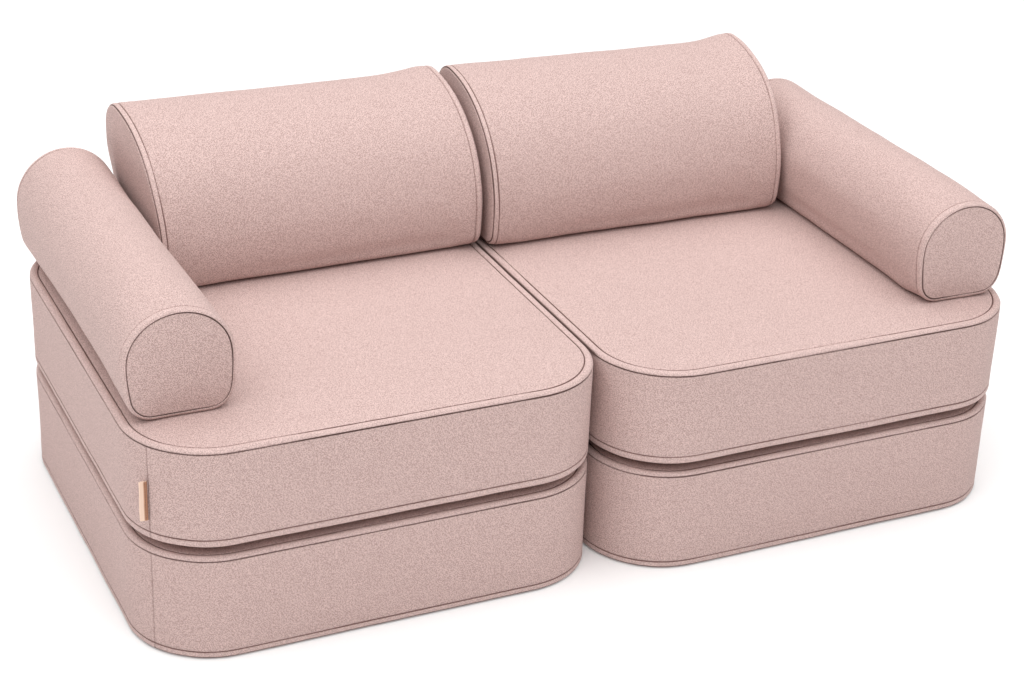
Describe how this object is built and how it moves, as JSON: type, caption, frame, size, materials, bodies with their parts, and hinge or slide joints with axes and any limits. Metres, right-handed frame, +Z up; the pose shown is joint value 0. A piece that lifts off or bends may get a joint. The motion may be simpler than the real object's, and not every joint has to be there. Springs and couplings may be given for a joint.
{
  "type": "modular foam play sofa",
  "caption": "Low modular foam play sofa: square seat mattresses with rounded corners stacked on matching bases, D-shaped bolster arms and wedge backrests in zipped woven covers.",
  "frame": {"origin": "on the floor, at the middle of the sofa's bounding box", "axes": "+X to the right module as seen from the front, +Y from the front edge towards the backrests, +Z up"},
  "size_m": [1.321, 0.7238, 0.5386],
  "materials": {
    "upholstery_fabric": "matt woven melange, dusty pink",
    "foam_core": "matt open-cell foam",
    "zip_strip": "matt woven tape with a coil",
    "zip_metal": "satin nickel",
    "tag_leather": "smooth tan leather, bare"
  },
  "bodies": {
    "base_left": {"base_left_cover": "upholstery_fabric", "base_left_core": "foam_core", "base_left_zip": "zip_strip"},
    "base_left_slider": {"base_left_slider": "zip_metal"},
    "base_left_pull": {"base_left_pull": "zip_metal"},
    "base_right": {"base_right_cover": "upholstery_fabric", "base_right_core": "foam_core", "base_right_zip": "zip_strip"},
    "base_right_slider": {"base_right_slider": "zip_metal"},
    "base_right_pull": {"base_right_pull": "zip_metal"},
    "seat_left": {"seat_left_cover": "upholstery_fabric", "seat_left_core": "foam_core", "seat_left_zip": "zip_strip", "leather_tag": "tag_leather"},
    "seat_left_slider": {"seat_left_slider": "zip_metal"},
    "seat_left_pull": {"seat_left_pull": "zip_metal"},
    "seat_right": {"seat_right_cover": "upholstery_fabric", "seat_right_core": "foam_core", "seat_right_zip": "zip_strip"},
    "seat_right_slider": {"seat_right_slider": "zip_metal"},
    "seat_right_pull": {"seat_right_pull": "zip_metal"},
    "arm_left": {"arm_left_cover": "upholstery_fabric", "arm_left_core": "foam_core", "arm_left_zip": "zip_strip"},
    "arm_left_slider": {"arm_left_slider": "zip_metal"},
    "arm_left_pull": {"arm_left_pull": "zip_metal"},
    "arm_right": {"arm_right_cover": "upholstery_fabric", "arm_right_core": "foam_core", "arm_right_zip": "zip_strip"},
    "arm_right_slider": {"arm_right_slider": "zip_metal"},
    "arm_right_pull": {"arm_right_pull": "zip_metal"},
    "back_left": {"back_left_cover": "upholstery_fabric", "back_left_core": "foam_core", "back_left_zip": "zip_strip"},
    "back_left_slider": {"back_left_slider": "zip_metal"},
    "back_left_pull": {"back_left_pull": "zip_metal"},
    "back_right": {"back_right_cover": "upholstery_fabric", "back_right_core": "foam_core", "back_right_zip": "zip_strip"},
    "back_right_slider": {"back_right_slider": "zip_metal"},
    "back_right_pull": {"back_right_pull": "zip_metal"}
  },
  "joints": [
    {"name": "right_module_apart", "type": "slide", "parent": "base_left", "child": "base_right", "axis": [1, 0, 0], "range_m": [0, 0.6]},
    {"name": "seat_left_lift", "type": "slide", "parent": "base_left", "child": "seat_left", "axis": [0, 0, 1], "range_m": [0, 0.42]},
    {"name": "seat_right_lift", "type": "slide", "parent": "base_right", "child": "seat_right", "axis": [0, 0, 1], "range_m": [0, 0.42]},
    {"name": "arm_left_lift", "type": "slide", "parent": "seat_left", "child": "arm_left", "axis": [0, 0, 1], "range_m": [0, 0.3]},
    {"name": "arm_right_lift", "type": "slide", "parent": "seat_right", "child": "arm_right", "axis": [0, 0, 1], "range_m": [0, 0.3]},
    {"name": "back_left_lift", "type": "slide", "parent": "seat_left", "child": "back_left", "axis": [0, 0, 1], "range_m": [0, 0.3]},
    {"name": "back_right_lift", "type": "slide", "parent": "seat_right", "child": "back_right", "axis": [0, 0, 1], "range_m": [0, 0.3]},
    {"name": "base_left_zip_slide", "type": "slide", "parent": "base_left", "child": "base_left_slider", "axis": [1, 0, 0], "range_m": [0, 0.384]},
    {"name": "base_right_zip_slide", "type": "slide", "parent": "base_right", "child": "base_right_slider", "axis": [1, 0, 0], "range_m": [0, 0.384]},
    {"name": "seat_left_zip_slide", "type": "slide", "parent": "seat_left", "child": "seat_left_slider", "axis": [1, 0, 0], "range_m": [0, 0.384]},
    {"name": "seat_right_zip_slide", "type": "slide", "parent": "seat_right", "child": "seat_right_slider", "axis": [1, 0, 0], "range_m": [0, 0.384]},
    {"name": "arm_left_zip_slide", "type": "slide", "parent": "arm_left", "child": "arm_left_slider", "axis": [0.007, -1, 0], "range_m": [0, 0.244]},
    {"name": "arm_right_zip_slide", "type": "slide", "parent": "arm_right", "child": "arm_right_slider", "axis": [-0.0035, -1, 0], "range_m": [0, 0.244]},
    {"name": "back_left_zip_slide", "type": "slide", "parent": "back_left", "child": "back_left_slider", "axis": [1, 0.007, 0], "range_m": [0, 0.364]},
    {"name": "back_right_zip_slide", "type": "slide", "parent": "back_right", "child": "back_right_slider", "axis": [0.9998, -0.0209, 0], "range_m": [0, 0.364]},
    {"name": "base_left_pull_hinge", "type": "hinge", "parent": "base_left_slider", "child": "base_left_pull", "pos_m": [-0.5225, 0.36025, 0.078], "axis": [0, 0, 1], "range_deg": [0, 180]},
    {"name": "base_right_pull_hinge", "type": "hinge", "parent": "base_right_slider", "child": "base_right_pull", "pos_m": [0.1385, 0.34125, 0.078], "axis": [0, 0, 1], "range_deg": [0, 180]},
    {"name": "seat_left_pull_hinge", "type": "hinge", "parent": "seat_left_slider", "child": "seat_left_pull", "pos_m": [-0.5225, 0.36025, 0.2343], "axis": [0, 0, 1], "range_deg": [0, 180]},
    {"name": "seat_right_pull_hinge", "type": "hinge", "parent": "seat_right_slider", "child": "seat_right_pull", "pos_m": [0.1385, 0.34125, 0.2343], "axis": [0, 0, 1], "range_deg": [0, 180]},
    {"name": "arm_left_pull_hinge", "type": "hinge", "parent": "arm_left_slider", "child": "arm_left_pull", "pos_m": [-0.50683, 0.03664, 0.3686], "axis": [0, 0, 1], "range_deg": [0, 180]},
    {"name": "arm_right_pull_hinge", "type": "hinge", "parent": "arm_right_slider", "child": "arm_right_pull", "pos_m": [0.65494, -0.01287, 0.3686], "axis": [0, 0, 1], "range_deg": [0, 180]},
    {"name": "back_left_pull_hinge", "type": "hinge", "parent": "back_left_slider", "child": "back_left_pull", "pos_m": [-0.44076, 0.35648, 0.3576], "axis": [0, 0, 1], "range_deg": [0, 180]},
    {"name": "back_right_pull_hinge", "type": "hinge", "parent": "back_right_slider", "child": "back_right_pull", "pos_m": [0.07314, 0.34473, 0.3576], "axis": [0, 0, 1], "range_deg": [0, 180]}
  ]
}
